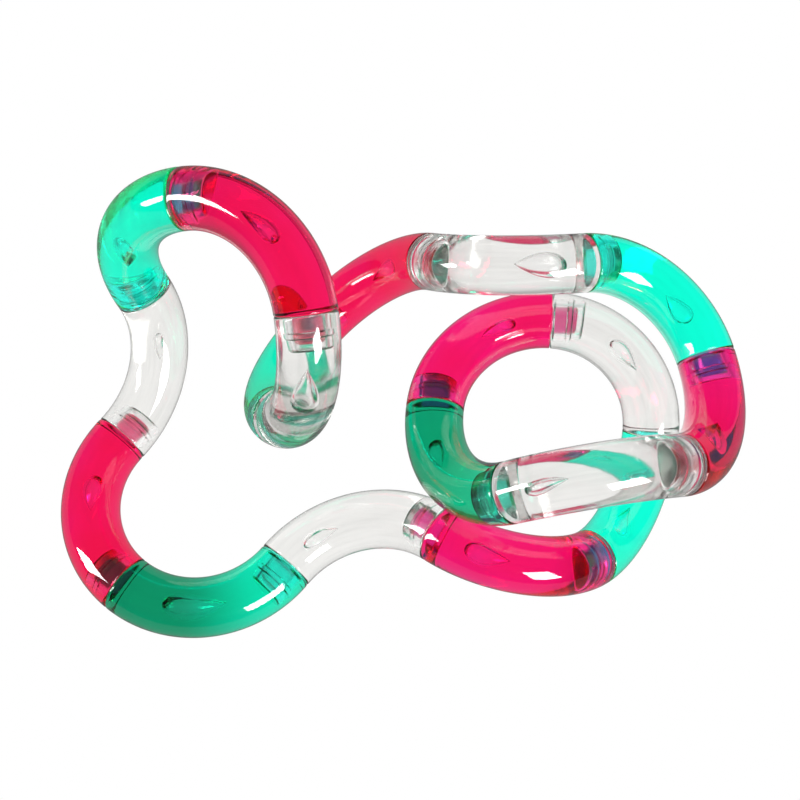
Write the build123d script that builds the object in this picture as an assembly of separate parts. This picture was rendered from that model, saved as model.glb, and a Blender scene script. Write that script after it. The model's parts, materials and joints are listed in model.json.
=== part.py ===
from build123d import *
import math
import os
import numpy as np

# A twisty snake puzzle: eighteen solid plastic quarter bends in one closed loop.
# Every link has a stud on one end and a socket on the other, and turns on its neighbour.

# ---- driving dimensions (mm, degrees) ----
TUBE_D = 12.0            # outside diameter of a link
BEND_R = 22.8            # radius of a link's centre line, a quarter circle
FACE_GAP = 0.10          # running gap between the end faces of two links
OPEN_GAP = 0.80          # the same gap at the pivot where the loop is opened
RIM_R = 0.35             # rounding of the rims at both ends
STUD_R = 2.90            # stud radius
STUD_L = 5.20            # stud length beyond the joint plane
STUD_TIP = 0.45          # chamfer at the tip of the stud
SNAP_R = 3.10            # radius of the snap ring round the stud
SNAP_AT = 3.70           # distance of the snap ring's middle from the joint plane
SNAP_W = 0.90            # width of the snap ring at its foot
BORE_R = 2.95            # socket radius, 0.05 more than the stud
BORE_L = 6.60            # socket depth
GROOVE_R = 3.20          # radius of the groove that holds the snap ring
GROOVE_W = 1.30          # width of the groove
MOUTH = 0.30             # lead-in chamfer at the mouth of the socket
COUNTER_R = 4.60         # shallow dish round the socket, radius
COUNTER_L = 0.35         # shallow dish round the socket, depth

# The moulding is thick, so a drop-shaped vacuum void is left inside each link.
VOID_L = 8.6             # length of the void, blunt end to pointed end
VOID_R = 2.1             # radius at the blunt end
VOID_SPREAD = 0.10       # how much the voids differ in size from link to link

# ---- the loop ----
COLOURS = ["green", "red", "clear"]
LINKS = 18
# Twist of each joint from the flat circle (0) through the S bend (180), going round the loop.
TWISTS = [-38, 41, 53, 4, 138, -119, -21, 83, -68, 41, 39, -59, 75, 139, 163, 1, -117]
OPEN_JOINT = 0           # clear_link_6 to green_link_1 is where the loop is opened
FLOOR_LINKS = [3, 12, 17]  # the three links that the puzzle stands on
START_HEADING = 136.0    # heading of the first link before the puzzle is set down
START_PITCH = -57.0      # pitch of the first link
START_ROLL = 122.0       # roll of the first link


def link_names():
    """Names in loop order. The first clear link comes third, after a green and a red one."""
    return [f"{COLOURS[k % 3]}_link_{k // 3 + 1}" for k in range(LINKS)]


# ---- the loop's geometry ----
def joint_frames(twists):
    """Joint points, tangents and bend directions, joint 0 at the origin, one extra at the end."""
    point = np.zeros(3)
    tangent = np.array([1.0, 0.0, 0.0])
    inward = np.array([0.0, 1.0, 0.0])
    frames = [(point, tangent, inward)]
    for turn in list(twists) + [0.0]:
        point = point + BEND_R * (tangent + inward)
        back = -tangent
        tangent = inward
        side = np.cross(tangent, back)
        a = math.radians(turn)
        inward = math.cos(a) * back + math.sin(a) * side
        frames.append((point, tangent, inward))
    return frames


def loop_error(twists):
    """How far the last link is from meeting the first one, in place and in direction."""
    frames = joint_frames(twists)
    first, last = frames[0], frames[-1]
    return np.concatenate([(last[0] - first[0]) / BEND_R, last[1] - first[1]])


def closed_twists():
    """The twists with the smallest changes, all under half a degree, that close the loop."""
    twists = np.array(TWISTS, float)
    step = 1e-4
    for _ in range(20):
        error = loop_error(twists)
        if np.abs(error).max() < 1e-12:
            break
        columns = []
        for k in range(len(twists)):
            nudge = np.zeros(len(twists))
            nudge[k] = step
            columns.append((loop_error(twists + nudge) - loop_error(twists - nudge)) / (2 * step))
        slope = np.array(columns).T
        twists = twists - np.linalg.pinv(slope, rcond=1e-6) @ error
    return twists


def centre_line(frame, steps=180):
    """Points along the middle of a link, from its socket face to its stud face."""
    point, tangent, inward = frame
    a = np.linspace(0.0, math.pi / 2, steps + 1)[:, None]
    return point + BEND_R * (np.sin(a) * tangent + (1 - np.cos(a)) * inward)


def turned(frames, matrix):
    return [(matrix @ p, matrix @ t, matrix @ n) for p, t, n in frames]


def turn_between(a, b):
    """The rotation that takes direction a to direction b."""
    v = np.cross(a, b)
    c = float(a @ b)
    k = np.array([[0, -v[2], v[1]], [v[2], 0, -v[0]], [-v[1], v[0], 0]])
    return np.eye(3) + k + k @ k / (1 + c)


def start_turn():
    """Heading, pitch and roll of the first link as one matrix."""
    h, p, r = (math.radians(v) for v in (START_HEADING, START_PITCH, START_ROLL))
    heading = np.array([[math.cos(h), -math.sin(h), 0], [math.sin(h), math.cos(h), 0], [0, 0, 1]])
    pitch = np.array([[math.cos(p), 0, math.sin(p)], [0, 1, 0], [-math.sin(p), 0, math.cos(p)]])
    roll = np.array([[1, 0, 0], [0, math.cos(r), -math.sin(r)], [0, math.sin(r), math.cos(r)]])
    return heading @ pitch @ roll


def stand_on_floor(frames):
    """Turns the loop until the lowest points of the three floor links share one level."""
    up = np.array([0.0, 0.0, 1.0])
    for _ in range(12):
        low = [min(centre_line(frames[k]), key=lambda q: q[2]) for k in FLOOR_LINKS]
        normal = np.cross(low[1] - low[0], low[2] - low[0])
        normal = normal / np.linalg.norm(normal)
        if normal[2] < 0:
            normal = -normal
        frames = turned(frames, turn_between(normal, up))
    return frames


def placed_frames():
    """The loop as it stands: floor at Z = 0, the middle of its bounding box over the origin."""
    frames = joint_frames(closed_twists())
    frames = turned(frames, start_turn())
    frames = stand_on_floor(frames)
    points = np.vstack([centre_line(f) for f in frames[:LINKS]])
    low = points.min(axis=0) - TUBE_D / 2
    high = points.max(axis=0) + TUBE_D / 2
    shift = np.array([-(low[0] + high[0]) / 2, -(low[1] + high[1]) / 2, -low[2]])
    return [(p + shift, t, n) for p, t, n in frames]


# ---- one link, made at the origin: it starts along +X and bends towards +Y ----
def bend(start_gap, end_gap):
    """The quarter bend itself, short of each joint plane by its gap, with rounded rims."""
    middle = Axis((0, BEND_R, 0), (0, 0, 1))
    first = math.degrees(start_gap / BEND_R)
    last = math.degrees(end_gap / BEND_R)
    section = Plane.YZ * Circle(TUBE_D / 2)
    body = revolve(section, middle, 90 - first - last)
    body = body.rotate(middle, first)
    rims = body.edges().filter_by(GeomType.CIRCLE).filter_by(is_rim)
    return fillet(rims, RIM_R)


def is_rim(edge):
    return abs(edge.length - math.pi * TUBE_D) < 0.1


def turned_pin(outline):
    """A solid of revolution about the X axis from (distance along X, radius) corners."""
    face = make_face(Polyline(*outline, close=True))
    return revolve(Plane.XY * face, Axis.X, 360)


def stud(root):
    """The stud along +X, from root to its tip, with the snap ring on it."""
    near = SNAP_AT - SNAP_W / 2
    far = SNAP_AT + SNAP_W / 2
    rise = SNAP_R - STUD_R
    outline = [
        (root, 0),
        (root, STUD_R),
        (near, STUD_R),
        (near + rise, SNAP_R),
        (far - rise, SNAP_R),
        (far, STUD_R),
        (STUD_L - STUD_TIP, STUD_R),
        (STUD_L, STUD_R - STUD_TIP),
        (STUD_L, 0),
    ]
    return turned_pin(outline)


def socket():
    """The hole for the next stud, along +X: dish, lead-in chamfer, bore and snap groove."""
    face = FACE_GAP / 2
    near = SNAP_AT - GROOVE_W / 2
    far = SNAP_AT + GROOVE_W / 2
    rise = GROOVE_R - BORE_R
    floor = face + COUNTER_L
    outline = [
        (-1.0, 0),
        (-1.0, COUNTER_R),
        (floor, COUNTER_R),
        (floor, BORE_R + MOUTH),
        (floor + MOUTH, BORE_R),
        (near, BORE_R),
        (near + rise, GROOVE_R),
        (far - rise, GROOVE_R),
        (far, BORE_R),
        (BORE_L, BORE_R),
        (BORE_L, 0),
    ]
    return turned_pin(outline)


def void(k):
    """The drop-shaped void near the stud end: blunt towards the stud, drawn out to a point behind."""
    size = 1 + VOID_SPREAD * math.sin(2.4 * k)
    length = VOID_L * size
    radius = VOID_R * size
    outline = Bezier((0, 0), (0, radius * 1.25), (length * 0.55, radius * 0.75), (length, 0))
    face = make_face([outline, Line((length, 0), (0, 0))])
    drop = revolve(Plane.XY * face, Axis.X, 360)
    at = math.radians(66)
    place = Plane(
        origin=(BEND_R * math.sin(at), BEND_R * (1 - math.cos(at)), 0),
        x_dir=(-math.cos(at), -math.sin(at), 0),
        z_dir=(0, 0, 1),
    )
    return place * drop


def link(k):
    """One link. Only at the opened pivot does it end short, with its stud made apart."""
    opened = (k + 1) % LINKS == OPEN_JOINT
    start_gap = FACE_GAP / 2
    end_gap = OPEN_GAP - FACE_GAP / 2 if opened else FACE_GAP / 2
    body = bend(start_gap, end_gap)
    if not opened:
        end = Plane(origin=(BEND_R, BEND_R, 0), x_dir=(0, 1, 0), z_dir=(0, 0, 1))
        body = body + end * stud(-1.0)
    return body - socket() - void(k)


def loose_stud():
    """The stud of the opened pivot, seated in the socket that it belongs in."""
    return stud(FACE_GAP / 2 + COUNTER_L)


def in_place(solid, frame):
    point, tangent, inward = frame
    up = np.cross(tangent, inward)
    plane = Plane(origin=tuple(point), x_dir=tuple(tangent), z_dir=tuple(up))
    return plane * solid


def parts():
    frames = placed_frames()
    made = {}
    for k, name in enumerate(link_names()):
        made[name] = in_place(link(k), frames[k])
    made["clear_stud_6"] = in_place(loose_stud(), frames[OPEN_JOINT])
    return made


if __name__ == "__main__":
    os.makedirs("parts", exist_ok=True)
    for name, solid in parts().items():
        solid.label = name
        export_step(solid, f"parts/{name}.step")
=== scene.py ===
import json
import math

import bpy
import numpy as np
from mathutils import Matrix, Vector


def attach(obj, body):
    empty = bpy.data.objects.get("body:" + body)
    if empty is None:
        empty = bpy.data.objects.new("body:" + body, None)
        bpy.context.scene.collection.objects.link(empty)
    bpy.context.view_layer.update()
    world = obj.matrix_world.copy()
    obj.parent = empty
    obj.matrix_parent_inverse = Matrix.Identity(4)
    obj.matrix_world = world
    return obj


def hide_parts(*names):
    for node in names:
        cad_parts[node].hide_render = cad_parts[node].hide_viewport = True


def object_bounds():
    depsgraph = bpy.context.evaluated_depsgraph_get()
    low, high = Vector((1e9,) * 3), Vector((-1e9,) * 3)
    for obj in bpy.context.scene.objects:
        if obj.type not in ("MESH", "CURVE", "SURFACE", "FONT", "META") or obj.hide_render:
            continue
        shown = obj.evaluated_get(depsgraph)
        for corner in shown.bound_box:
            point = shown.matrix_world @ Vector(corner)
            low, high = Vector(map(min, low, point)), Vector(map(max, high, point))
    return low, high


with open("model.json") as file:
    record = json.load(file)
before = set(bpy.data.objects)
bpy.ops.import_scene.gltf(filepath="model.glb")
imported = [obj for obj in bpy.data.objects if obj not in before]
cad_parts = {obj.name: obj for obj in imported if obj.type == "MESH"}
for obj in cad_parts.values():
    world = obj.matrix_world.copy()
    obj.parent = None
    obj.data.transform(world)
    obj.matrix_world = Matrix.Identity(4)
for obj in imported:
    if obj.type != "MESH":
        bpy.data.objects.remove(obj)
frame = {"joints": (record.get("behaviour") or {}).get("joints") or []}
cad_low, cad_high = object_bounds()

# A twisty snake puzzle: eighteen solid, tinted clear quarter bends in one closed loop.
# Each link is one closed mesh, swept ring by ring from the floor of its socket to the tip of its
# stud, with a drop-shaped vacuum void inside. Lengths are in metres.

COLOURS = ["green", "red", "clear"]
LINKS = 18
NAMES = [f"{COLOURS[k % 3]}_link_{k // 3 + 1}" for k in range(LINKS)]

TUBE_R = 0.006
FACE_GAP = 0.00005       # end face to joint plane
RIM_R = 0.00035
STUD_R = 0.0029
STUD_L = 0.0052
STUD_TIP = 0.00045
SNAP_R = 0.0031
SNAP_AT = 0.0037
SNAP_W = 0.0009
BORE_R = 0.00295
BORE_L = 0.0066
GROOVE_R = 0.0032
GROOVE_W = 0.0013
MOUTH = 0.0003
COUNTER_R = 0.0046
COUNTER_L = 0.00035

AROUND = 96              # points round a ring
ALONG = 72               # rings along the bend
RIM_STEPS = 5            # rings over a rounded rim
SMOOTH_UP_TO = 32        # degrees between faces

# Small roundings of the edges inside a joint.
BORE_SOFT = 0.0006       # at the bottom of the bore
DISH_SOFT = 0.00012      # on the floor of the dish, at its wall
DISH_MIDDLE = (0.00004, 0.00003)
DISH_RISE = 0.0001       # on the wall of the dish, at its floor
MOUTH_SOFT = 0.00008     # where the dish meets the end face
TIP_SOFT = 0.0001        # on both edges of the stud's chamfer
STUD_FOOT = [(0.0, 0.0004), (0.00006, 0.00012), (0.00018, 0.0)]  # (along, added radius)
STUD_ROOT = 0.0012       # end of the first plain stretch of the stud
FOOT_SOFT = 0.0001       # at the foot of the stud that is a piece of its own

VOID_ALONG = 40
VOID_AROUND = 48
DROP_FULLNESS = 2.598    # brings the widest ring of the drop to its stated radius
DROP_CROWDING = 1.6      # draws the rings together at the blunt end
VOID_WANDER = 0.00018    # how far a void's middle strays from the centre line

# Each void: where its blunt end and its pointed end lie on the bend (degrees from the socket face),
# its largest radius (mm), how flat it is and how far it is turned about the centre line (degrees).
VOIDS = {
    "green_link_1": (47, 27, 1.35, 0.85, 20),
    "red_link_1": (56, 34, 1.40, 0.80, -30),
    "clear_link_1": (50, 25, 1.45, 0.80, 10),
    "green_link_2": (68, 48, 1.40, 0.85, 70),
    "red_link_2": (67, 46, 1.45, 0.80, 40),
    "clear_link_2": (78, 53, 1.70, 0.75, 0),
    "green_link_3": (70, 50, 1.35, 0.80, -50),
    "red_link_3": (68, 48, 1.45, 0.85, 15),
    "clear_link_3": (80, 60, 1.25, 0.75, 60),
    "green_link_4": (66, 46, 1.35, 0.85, -10),
    "red_link_4": (70, 49, 1.45, 0.80, 35),
    "clear_link_4": (33, 54, 1.55, 0.75, -20),
    "green_link_5": (68, 47, 1.40, 0.85, 80),
    "red_link_5": (74, 52, 1.35, 0.80, 25),
    "clear_link_5": (77, 56, 1.30, 0.75, -60),
    "green_link_6": (67, 35, 2.05, 0.80, 0),
    "red_link_6": (64, 44, 1.40, 0.80, 50),
    "clear_link_6": (66, 50, 1.05, 0.80, -40),
}


# ---- the loop, read from the frame's joints ----
def loop_frames():
    """Joint points and tangents round the loop, and the bend radius."""
    joints = {j["name"]: j for j in frame["joints"]}
    points = [None] * LINKS
    tangents = [None] * LINKS
    for k in range(1, LINKS):
        joint = joints[f"{NAMES[k - 1]}_to_{NAMES[k]}"]
        points[k] = np.array(joint["pos_m"], float)
        axis = np.array(joint["axis"], float)
        tangents[k] = axis / np.linalg.norm(axis)
    for k in range(1, LINKS):
        chord = points[k + 1] - points[k] if k + 1 < LINKS else points[k] - points[k - 1]
        if chord @ tangents[k] < 0:
            tangents[k] = -tangents[k]
    radius = np.linalg.norm(points[2] - points[1]) / math.sqrt(2)
    last = LINKS - 1
    span = points[1] - points[last] - radius * (tangents[1] + tangents[last])
    tangents[0] = span / np.linalg.norm(span)
    points[0] = points[last] + radius * (tangents[last] + tangents[0])
    return points, tangents, radius


POINTS, TANGENTS, BEND_R = loop_frames()


def link_matrix(k):
    """Local link space (starts along +X, bends towards +Y) to the row frame."""
    t = Vector(TANGENTS[k])
    n = Vector(TANGENTS[(k + 1) % LINKS])
    n = (n - t * n.dot(t)).normalized()
    b = t.cross(n)
    m = Matrix((t, n, b)).transposed().to_4x4()
    m.translation = Vector(POINTS[k])
    return m


# ---- rings: (centre x, centre y, heading of the ring's axis, radius) ----
def on_bend(angle, radius):
    return (BEND_R * math.sin(angle), BEND_R * (1 - math.cos(angle)), angle, radius)


def on_axis(x, radius):
    """A ring about the socket's axis, x from the joint plane."""
    return (x, 0.0, 0.0, radius)


def past_end(x, radius):
    """A ring about the stud's axis, x beyond the far joint plane."""
    return (BEND_R, BEND_R + x, math.pi / 2, radius)


def corner(centre_a, centre_r, size, start, stop, steps):
    """Points (along, radius) on a rounded corner, angles in degrees from the along direction."""
    out = []
    for i in range(steps + 1):
        a = math.radians(start + (stop - start) * i / steps)
        out.append((centre_a + size * math.cos(a), centre_r + size * math.sin(a)))
    return out


def socket_rings():
    """From the bottom of the bore out to the socket's dish."""
    floor = FACE_GAP + COUNTER_L
    near, far = SNAP_AT - GROOVE_W / 2, SNAP_AT + GROOVE_W / 2
    rise = GROOVE_R - BORE_R
    line = [(BORE_L, 0.0), (BORE_L, BORE_R * 0.45)]
    line += corner(BORE_L - BORE_SOFT, BORE_R - BORE_SOFT, BORE_SOFT, 0, 90, 6)
    line += [(far, BORE_R), (far - rise, GROOVE_R), (near + rise, GROOVE_R), (near, BORE_R)]
    line += [((near + floor + MOUTH) / 2, BORE_R), (floor + MOUTH, BORE_R)]
    line += [(floor, BORE_R + MOUTH), (floor, COUNTER_R - DISH_SOFT)]
    line += [(floor - DISH_MIDDLE[0], COUNTER_R - DISH_MIDDLE[1]), (floor - DISH_RISE, COUNTER_R)]
    line += [(FACE_GAP + MOUTH_SOFT, COUNTER_R), (FACE_GAP, COUNTER_R + MOUTH_SOFT)]
    return [on_axis(x, r) for x, r in line]


def outer_rings():
    """From the socket's end face over both rounded rims to the stud's end face."""
    rings = []
    for x, r in corner(FACE_GAP + RIM_R, TUBE_R - RIM_R, RIM_R, 180, 90, RIM_STEPS):
        rings.append(on_bend(x / BEND_R, r))
    start = (FACE_GAP + RIM_R) / BEND_R
    stop = math.pi / 2 - start
    for i in range(1, ALONG):
        rings.append(on_bend(start + (stop - start) * i / ALONG, TUBE_R))
    for x, r in corner(-FACE_GAP - RIM_R, TUBE_R - RIM_R, RIM_R, 90, 0, RIM_STEPS):
        rings.append(on_bend(math.pi / 2 + x / BEND_R, r))
    return rings


def stud_line(root):
    """(along, radius) from the stud's root to the middle of its tip."""
    near, far = SNAP_AT - SNAP_W / 2, SNAP_AT + SNAP_W / 2
    rise = SNAP_R - STUD_R
    line = [(root, STUD_R), (near, STUD_R), (near + rise, SNAP_R)]
    line += [(far - rise, SNAP_R), (far, STUD_R), (STUD_L - STUD_TIP, STUD_R)]
    line += [(STUD_L - TIP_SOFT, STUD_R - STUD_TIP + TIP_SOFT)]
    line += [(STUD_L, STUD_R - STUD_TIP - TIP_SOFT), (STUD_L, STUD_R * 0.4), (STUD_L, 0.0)]
    return line


def stud_rings():
    """From the end face over the flared foot of the stud to its tip."""
    line = [(-FACE_GAP + x, STUD_R + extra) for x, extra in STUD_FOOT]
    return [past_end(x, r) for x, r in line + stud_line(STUD_ROOT)]


def join(faces, before, ring):
    """Adds the faces between two rings. A ring of one point closes the end of a shell."""
    count = max(len(before), len(ring))
    for i in range(count):
        j = (i + 1) % count
        if len(before) == 1:
            faces.append((before[0], ring[j], ring[i]))
        elif len(ring) == 1:
            faces.append((before[i], before[j], ring[0]))
        else:
            faces.append((before[i], before[j], ring[j], ring[i]))


def swept(rings):
    """Vertices and faces from rings."""
    verts, faces = [], []
    before = None
    for cx, cy, heading, radius in rings:
        c = Vector((cx, cy, 0.0))
        inward = Vector((-math.sin(heading), math.cos(heading), 0.0))
        up = Vector((0.0, 0.0, 1.0))
        count = 1 if radius == 0.0 else AROUND
        first = len(verts)
        for i in range(count):
            a = 2 * math.pi * i / AROUND
            verts.append(c + (inward * math.cos(a) + up * math.sin(a)) * radius)
        ring = list(range(first, first + count))
        if before is not None:
            join(faces, before, ring)
        before = ring
    return verts, faces


def void_mesh(name):
    """The drop: round at its blunt end, drawn out to a point, and following the bend."""
    start, stop, radius, flat, roll = VOIDS[name]
    radius = radius / 1000
    span = math.radians(start - stop)
    seed = NAMES.index(name)
    begin = math.radians(start)
    tilt = math.radians(roll)
    up = Vector((0, 0, 1))
    verts, faces = [], []
    before = None
    for s in range(VOID_ALONG + 1):
        u = (s / VOID_ALONG) ** DROP_CROWDING
        r = radius * DROP_FULLNESS * math.sqrt(u) * (1 - u) if 0 < s < VOID_ALONG else 0.0
        a = begin - u * span
        c = Vector((BEND_R * math.sin(a), BEND_R * (1 - math.cos(a)), 0.0))
        c += up * VOID_WANDER * math.sin(3 * u + seed)
        inward = Vector((-math.sin(a), math.cos(a), 0.0))
        e1 = inward * math.cos(tilt) + up * math.sin(tilt)
        e2 = up * math.cos(tilt) - inward * math.sin(tilt)
        count = 1 if r == 0.0 else VOID_AROUND
        first = len(verts)
        for i in range(count):
            b = 2 * math.pi * i / VOID_AROUND
            bump = 1 + 0.05 * math.sin(2 * b + seed * 1.7 + 4 * u)
            bump += 0.03 * math.sin(3 * b - 5 * u + seed)
            verts.append(c + (e1 * math.cos(b) * flat + e2 * math.sin(b)) * r * bump)
        ring = list(range(first, first + count))
        if before is not None:
            join(faces, before, ring)
        before = ring
    return verts, faces


def signed_volume(verts, faces):
    """Positive when a closed shell's faces point outwards."""
    total = 0.0
    for f in faces:
        for i in range(1, len(f) - 1):
            total += verts[f[0]].dot(verts[f[i]].cross(verts[f[i + 1]]))
    return total / 6


def flow_coordinates(v):
    """Distance along the bend and round the tube, in metres, for a point in link space."""
    angle = math.atan2(v.x, BEND_R - v.y)
    out = BEND_R - math.hypot(v.x, BEND_R - v.y)
    return angle * BEND_R, math.atan2(v.z, out) * TUBE_R


def in_joint(v):
    """Whether a point in link space is on the socket's bore or on the stud."""
    socket = v.x < BORE_L + 0.0002 and math.hypot(v.y, v.z) < COUNTER_R - 0.0005
    pin = v.y > BEND_R - 0.0001 and math.hypot(v.x - BEND_R, v.z) < SNAP_R + 0.0005
    return socket or pin


def make_object(name, shells, matrix, material):
    """One object from (vertices, faces, whether it is a void) shells, placed by the matrix."""
    verts, faces = [], []
    hollow_verts = set()
    for v, f, inwards in shells:
        if (signed_volume(v, f) < 0) != inwards:
            f = [tuple(reversed(q)) for q in f]
        base = len(verts)
        if inwards:
            hollow_verts.update(range(base, base + len(v)))
        verts += v
        faces += [tuple(base + i for i in q) for q in f]
    inner = {i for i, v in enumerate(verts) if in_joint(v)}
    mesh = bpy.data.meshes.new(name)
    mesh.from_pydata([matrix @ v for v in verts], [], faces)
    flow = mesh.uv_layers.new(name="flow")
    finish = mesh.uv_layers.new(name="finish")
    for face in mesh.polygons:
        satin = 1.0 if all(i in inner for i in face.vertices) else 0.0
        on_void = 1.0 if face.vertices[0] in hollow_verts else 0.0
        for loop in face.loop_indices:
            finish.data[loop].uv = (satin, on_void)
        corners = [flow_coordinates(verts[i]) for i in face.vertices]
        wraps = max(c[1] for c in corners) - min(c[1] for c in corners) > math.pi * TUBE_R
        for loop, (along, across) in zip(face.loop_indices, corners):
            if wraps and across < 0:
                across += 2 * math.pi * TUBE_R
            flow.data[loop].uv = (along, across)
    mesh.validate()
    mesh.polygons.foreach_set("use_smooth", [True] * len(mesh.polygons))
    mesh.set_sharp_from_angle(angle=math.radians(SMOOTH_UP_TO))
    mesh.update()
    mesh.materials.append(material)
    piece = bpy.data.objects.new(name, mesh)
    bpy.context.scene.collection.objects.link(piece)
    return piece


# ---- shader nodes ----
def add(tree, kind, inputs=None, **settings):
    """A new node. The settings come first, then each input takes a value or is linked."""
    node = tree.nodes.new(kind)
    for key, value in settings.items():
        setattr(node, key, value)
    for socket, value in (inputs or {}).items():
        if isinstance(value, bpy.types.NodeSocket):
            tree.links.new(value, node.inputs[socket])
        else:
            node.inputs[socket].default_value = value
    return node


def ramp(tree, factor, low, high):
    """A colour ramp between two (position, colour) stops."""
    node = add(tree, "ShaderNodeValToRGB", {"Fac": factor})
    for element, (position, colour) in zip(node.color_ramp.elements, (low, high)):
        element.position = position
        element.color = (*colour, 1)
    return node.outputs["Color"]


def mapped(tree, value, span, to=(0.0, 1.0), smooth=False):
    """Value carried from one span to another."""
    node = add(
        tree,
        "ShaderNodeMapRange",
        {
            "Value": value,
            "From Min": span[0],
            "From Max": span[1],
            "To Min": to[0],
            "To Max": to[1],
        },
        interpolation_type="SMOOTHSTEP" if smooth else "LINEAR",
    )
    return node.outputs["Result"]


def mixed(tree, kind, factor, a, b):
    """A mix of two colours ("RGBA") or two numbers ("FLOAT")."""
    inputs = {"Factor": factor, "A": a, "B": b}
    return add(tree, "ShaderNodeMix", inputs, data_type=kind).outputs["Result"]


# ---- tinted clear plastic ----
PLASTIC_IOR = 1.52
COAT = {"Coat Weight": 0.6, "Coat Roughness": 0.02, "Coat IOR": 1.5}
SATIN = 0.20                 # roughness of bore and stud, left satin by their moulds
WHITE = (1, 1, 1, 1)
FLOW_SCALE = (45, 900, 1)    # long along the link, narrow across it
# Painted shade: where a tint that darkens along a link starts and ends.
SHADE_FADE_AFTER = 0.002           # where a fading tint starts, from the socket end
SHADE_FADE_BEFORE = 0.010          # where it is complete, from the stud end


def plastic(name, tint, absorb, density, cloud, haze=(0.04, 0.09), shade_fade=None, streak=0.94):
    """Moulded clear plastic, tinted through its thickness, glossy with faint marks.

    cloud is what the uneven dye multiplies the tint by, haze the least and the most roughness, and
    streak the darkest flow line. shade_fade is (link number, tint at its stud end) where painted
    shade changes the tint along the link.
    """
    m = bpy.data.materials.new(name)
    m.use_nodes = True
    nt = m.node_tree
    nt.nodes.clear()
    where = add(nt, "ShaderNodeTexCoord").outputs["Object"]

    def noise(scale, detail, rough, vector=where):
        inputs = {"Scale": scale, "Detail": detail, "Roughness": rough, "Vector": vector}
        return add(nt, "ShaderNodeTexNoise", inputs).outputs["Fac"]

    def bump(height, strength, distance, normal=None):
        inputs = {"Strength": strength, "Distance": distance, "Height": height}
        if normal is not None:
            inputs["Normal"] = normal
        return add(nt, "ShaderNodeBump", inputs).outputs["Normal"]

    # The dye is not quite even.
    cloudy = [a * b for a, b in zip(tint, cloud)]
    dye_and_shade = ramp(nt, noise(scale=55, detail=3, rough=0.5), (0.36, cloudy), (0.62, tint))
    # Painted shade: the tint fades along the link to a darker tint at its stud end.
    if shade_fade is not None:
        k, shade_tint = shade_fade
        start, stop = POINTS[k], POINTS[(k + 1) % LINKS]
        way = (stop - start) / np.linalg.norm(stop - start)
        along = add(nt, "ShaderNodeVectorMath", {0: where, 1: tuple(way)}, operation="DOT_PRODUCT")
        span = (float(start @ way) + SHADE_FADE_AFTER, float(stop @ way) - SHADE_FADE_BEFORE)
        reach = mapped(nt, along.outputs["Value"], span, smooth=True)
        dye_and_shade = mixed(nt, "RGBA", reach, dye_and_shade, (*shade_tint, 1))

    # Handling marks: mostly glossy, with soft duller smudges.
    zone = add(nt, "ShaderNodeUVMap", uv_map="finish").outputs["UV"]
    which = add(nt, "ShaderNodeSeparateXYZ", {"Vector": zone})
    smudge = mapped(nt, noise(scale=420, detail=6, rough=0.65), (0.42, 0.72), haze)
    roughness = mixed(nt, "FLOAT", which.outputs["X"], smudge, SATIN)

    # Flow lines drawn out along the link. The void's face takes no tint of its own.
    flow = add(nt, "ShaderNodeUVMap", uv_map="flow").outputs["UV"]
    drawn = add(nt, "ShaderNodeMapping", {"Vector": flow, "Scale": FLOW_SCALE})
    lines = noise(scale=1.0, detail=3, rough=0.55, vector=drawn.outputs["Vector"])
    faint = mapped(nt, lines, (0.38, 0.66), (1.0, streak))
    streaked = add(nt, "ShaderNodeVectorMath", {0: dye_and_shade, "Scale": faint}, operation="SCALE")
    colour = mixed(nt, "RGBA", which.outputs["Y"], streaked.outputs["Vector"], WHITE)

    # Sink waviness, then the flow lines, then fine grain.
    sinks = noise(scale=210, detail=2, rough=0.4)
    grain = noise(scale=2600, detail=4, rough=0.6)
    normal = bump(sinks, strength=0.25, distance=0.00012)
    normal = bump(lines, strength=0.15, distance=0.00006, normal=normal)
    normal = bump(grain, strength=0.06, distance=0.00002, normal=normal)

    surface = {"IOR": PLASTIC_IOR, "Transmission Weight": 1.0, "Specular IOR Level": 0.5, **COAT}
    surface.update({"Base Color": colour, "Roughness": roughness, "Normal": normal})
    skin = add(nt, "ShaderNodeBsdfPrincipled", surface)
    core = add(nt, "ShaderNodeVolumeAbsorption", {"Color": (*absorb, 1), "Density": density})
    ends = {"Surface": skin.outputs["BSDF"], "Volume": core.outputs["Volume"]}
    add(nt, "ShaderNodeOutputMaterial", ends)
    return m


# Each dye: the colour it lets through, and how strong it is.
GREEN_DYE = ((0.0, 0.984, 0.928), 520.0)
# A stronger green dye for the two links that carry painted shade.
PAINTED_SHADE_DYE = ((0.0, 0.942, 0.860), 520.0)
RED_DYE = ((0.972, 0.0, 0.62), 430.0)
NO_DYE = ((0.82, 0.815, 0.80), 115.0)
GREEN_CLOUD = (0.95, 0.97, 0.93)
RED_CLOUD = (0.96, 0.90, 0.62)
PINK_CLOUD = (0.97, 0.92, 0.72)
PALE_CLOUD = (0.965, 0.965, 0.965)
CLEAR_TINT = (0.985, 0.985, 0.98)
CLEAR_HAZE = (0.08, 0.13)
CLEAR_STREAK = 0.90

PLASTIC = {
    "green": plastic("green_clear_plastic", (0.75, 1.0, 0.99), *GREEN_DYE, GREEN_CLOUD),
    "red": plastic("red_clear_plastic", (0.93, 0.80, 0.70), *RED_DYE, RED_CLOUD),
    "clear": plastic(
        "clear_plastic", CLEAR_TINT, *NO_DYE, PALE_CLOUD, haze=CLEAR_HAZE, streak=CLEAR_STREAK
    ),
}
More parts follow.
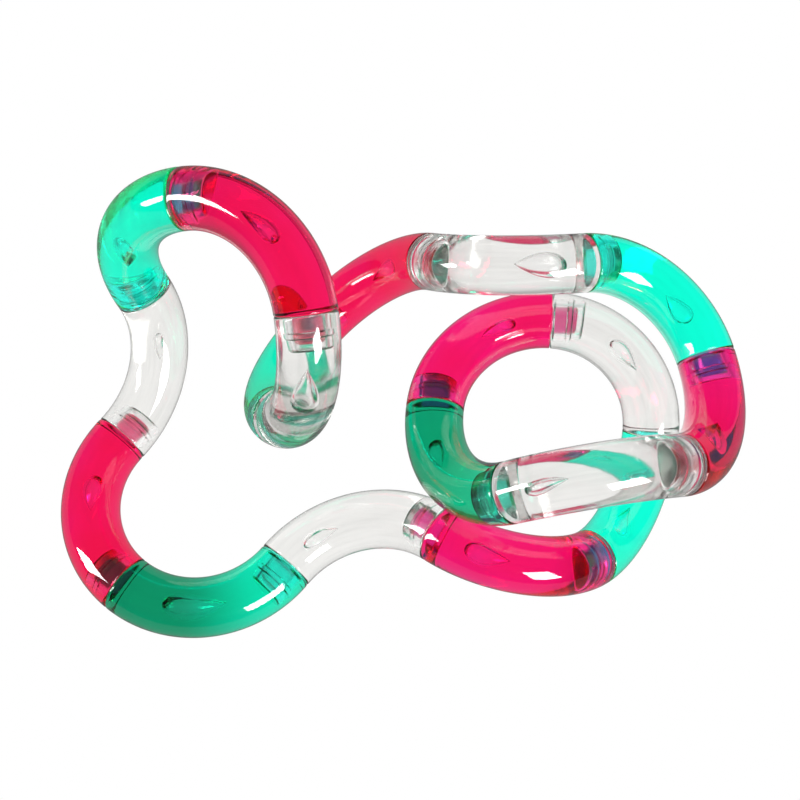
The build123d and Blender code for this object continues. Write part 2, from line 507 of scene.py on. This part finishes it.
# Some links take their own tint; two green ones carry painted shade, darker towards the stud.
GREEN_4_PAINTED_SHADE = (NAMES.index("green_link_4"), (0.55, 0.45, 0.36))
GREEN_6_PAINTED_SHADE = (NAMES.index("green_link_6"), (0.55, 0.36, 0.28))
LINK_TINTS_AND_PAINTED_SHADE = {
    # Painted shade on green_link_4 and green_link_6: a stronger dye and a fade to a darker tint.
    "green_link_4": plastic(
        "green_plastic_painted_shade_a", (0.65, 0.74, 0.66), *PAINTED_SHADE_DYE, PALE_CLOUD, shade_fade=GREEN_4_PAINTED_SHADE
    ),
    "green_link_6": plastic(
        "green_plastic_painted_shade_b", (0.70, 1.0, 0.98), *PAINTED_SHADE_DYE, PALE_CLOUD, shade_fade=GREEN_6_PAINTED_SHADE
    ),
    "green_link_2": plastic("green_clear_plastic_c", (0.75, 0.86, 0.78), *GREEN_DYE, GREEN_CLOUD),
}
pink = plastic("red_clear_plastic_a", (0.93, 0.84, 1.0), *RED_DYE, PINK_CLOUD)
for name in ["red_link_3", "red_link_4", "red_link_5"]:
    LINK_TINTS_AND_PAINTED_SHADE[name] = pink

# ---- the links ----
for k, name in enumerate(NAMES):
    colour = COLOURS[k % 3]
    rings = socket_rings() + outer_rings()
    if k == LINKS - 1:
        rings.append(past_end(-FACE_GAP, 0.0))  # its stud is a piece of its own, below
    else:
        rings += stud_rings()
    shells = [(*swept(rings), False), (*void_mesh(name), True)]
    material = LINK_TINTS_AND_PAINTED_SHADE.get(name, PLASTIC[colour])
    piece = make_object(f"{name}_moulding", shells, link_matrix(k), material)
    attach(piece, name)
    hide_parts(name)

# The stud of the last link, seated in the first link's socket.
root = FACE_GAP + COUNTER_L
loose = [on_axis(root, 0.0), on_axis(root, STUD_R - FOOT_SOFT)]
loose += [on_axis(x, r) for x, r in stud_line(root + FOOT_SOFT)]
shells = [(*swept(loose), False)]
piece = make_object("clear_stud_6_moulding", shells, link_matrix(0), PLASTIC["clear"])
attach(piece, "green_link_1")
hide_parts("clear_stud_6")

# ---- floor ----
FLOOR_HALF = 3.0
FLOOR_Z = -0.0001
FLOOR_GLOW = 1.22          # glow under the puzzle
FLOOR_FAR = 0.60           # glow far from it
FLOOR_FALL = (0.05, 0.20)  # where the glow starts and stops falling off
FLOOR_MIRRORED = 0.20      # glow as mirrored off a surface
h = FLOOR_HALF
corners = [(-h, -h, FLOOR_Z), (h, -h, FLOOR_Z), (h, h, FLOOR_Z), (-h, h, FLOOR_Z)]
mesh = bpy.data.meshes.new("floor")
mesh.from_pydata(corners, [], [(0, 1, 2, 3)])
floor = bpy.data.objects.new("floor", mesh)
bpy.context.scene.collection.objects.link(floor)
fm = bpy.data.materials.new("pale_floor")
fm.use_nodes = True
fn = fm.node_tree
glow = fn.nodes["Principled BSDF"]
glow.inputs["Base Color"].default_value = (0.05, 0.05, 0.05, 1)
glow.inputs["Roughness"].default_value = 0.9
glow.inputs["Specular IOR Level"].default_value = 0.0
glow.inputs["Emission Color"].default_value = WHITE
# It lights the puzzle from below, less and less further out.
place = add(fn, "ShaderNodeNewGeometry").outputs["Position"]
reach = add(fn, "ShaderNodeVectorMath", {0: place}, operation="LENGTH").outputs["Value"]
fall = mapped(fn, reach, FLOOR_FALL, (FLOOR_GLOW, FLOOR_FAR), smooth=True)
path = add(fn, "ShaderNodeLightPath").outputs
bent = mixed(fn, "FLOAT", path["Is Transmission Ray"], FLOOR_MIRRORED, fall)
fn.links.new(bent, glow.inputs["Emission Strength"])
# Clear to the eye in front of the white backdrop, so a link swung below the floor still shows.
sight = {0: path["Is Camera Ray"], 1: path["Is Shadow Ray"]}
either = add(fn, "ShaderNodeMath", sight, operation="MAXIMUM").outputs["Value"]
unseen = add(fn, "ShaderNodeBsdfTransparent").outputs["BSDF"]
choice = add(fn, "ShaderNodeMixShader", {"Fac": either, 1: glow.outputs["BSDF"], 2: unseen})
fn.links.new(choice.outputs["Shader"], fn.nodes["Material Output"].inputs["Surface"])
floor.data.materials.append(fm)

# ---- light ----
SKY_LOW = (0.0, (0.03, 0.03, 0.03))     # (height, colour) of the room as mirrored off a surface
SKY_HIGH = (0.55, (0.06, 0.06, 0.06))
SEEN_THROUGH = (1.15, 1.15, 1.15, 1)    # the room as seen through the plastic
world = bpy.data.worlds.new("studio")
bpy.context.scene.world = world
world.use_nodes = True
wn = world.node_tree
wn.nodes.clear()
coord = add(wn, "ShaderNodeTexCoord").outputs["Generated"]
height = add(wn, "ShaderNodeSeparateXYZ", {"Vector": coord}).outputs["Z"]
sky = ramp(wn, height, SKY_LOW, SKY_HIGH)
eye = add(wn, "ShaderNodeLightPath").outputs
through = mixed(wn, "RGBA", eye["Is Transmission Ray"], sky, SEEN_THROUGH)
seen = mixed(wn, "RGBA", eye["Is Camera Ray"], through, WHITE)
back = add(wn, "ShaderNodeBackground", {"Color": seen}).outputs["Background"]
add(wn, "ShaderNodeOutputWorld", {"Surface": back})


def softbox(name, azimuth, elevation, distance, width, height, power):
    """An area light facing the middle of the puzzle. Azimuth is from +X towards +Y."""
    data = bpy.data.lights.new(name, "AREA")
    data.shape = "RECTANGLE"
    data.size, data.size_y = width, height
    data.energy = power
    lamp = bpy.data.objects.new(name, data)
    bpy.context.scene.collection.objects.link(lamp)
    a, e = math.radians(azimuth), math.radians(elevation)
    way = Vector((math.cos(a) * math.cos(e), math.sin(a) * math.cos(e), math.sin(e)))
    lamp.location = (cad_low + cad_high) / 2 + way * distance
    lamp.rotation_mode = "QUATERNION"
    lamp.rotation_quaternion = way.to_track_quat("Z", "Y")


BOX_AWAY = 0.9
softbox("left_window", -170, 22, BOX_AWAY, width=0.20, height=0.46, power=5.5)
softbox("front_window", -55, 27, BOX_AWAY, width=0.40, height=0.36, power=9.0)

# ---- camera ----
CAMERA_AT = Vector((-0.01384, -0.08279, 0.26615))
CAMERA_RIGHT = Vector((0.99799, -0.00307, 0.06328))
CAMERA_DOWN = Vector((0.01877, -0.93966, -0.34157))
SENSOR_MM = 36.0
LENS_MM = 57.0465
SHIFT_X, SHIFT_Y = -0.0125, -0.011
CLIP = (0.01, 20)
right = CAMERA_RIGHT.normalized()
down = (CAMERA_DOWN - right * CAMERA_DOWN.dot(right)).normalized()
away = right.cross(-down)
data = bpy.data.cameras.new("camera")
camera = bpy.data.objects.new("camera", data)
bpy.context.scene.collection.objects.link(camera)
data.sensor_width = SENSOR_MM
data.lens = LENS_MM
data.shift_x, data.shift_y = SHIFT_X, SHIFT_Y
data.clip_start, data.clip_end = CLIP
m = Matrix((right, -down, away)).transposed().to_4x4()
m.translation = CAMERA_AT
camera.matrix_world = m
bpy.context.scene.camera = camera

scene = bpy.context.scene
scene.view_settings.view_transform = "Standard"
scene.view_settings.look = "None"
scene.cycles.max_bounces = 40
scene.cycles.transmission_bounces = 40
scene.cycles.glossy_bounces = 12
scene.cycles.transparent_max_bounces = 16
scene.cycles.sample_clamp_indirect = 6.0
scene.cycles.use_denoising = True
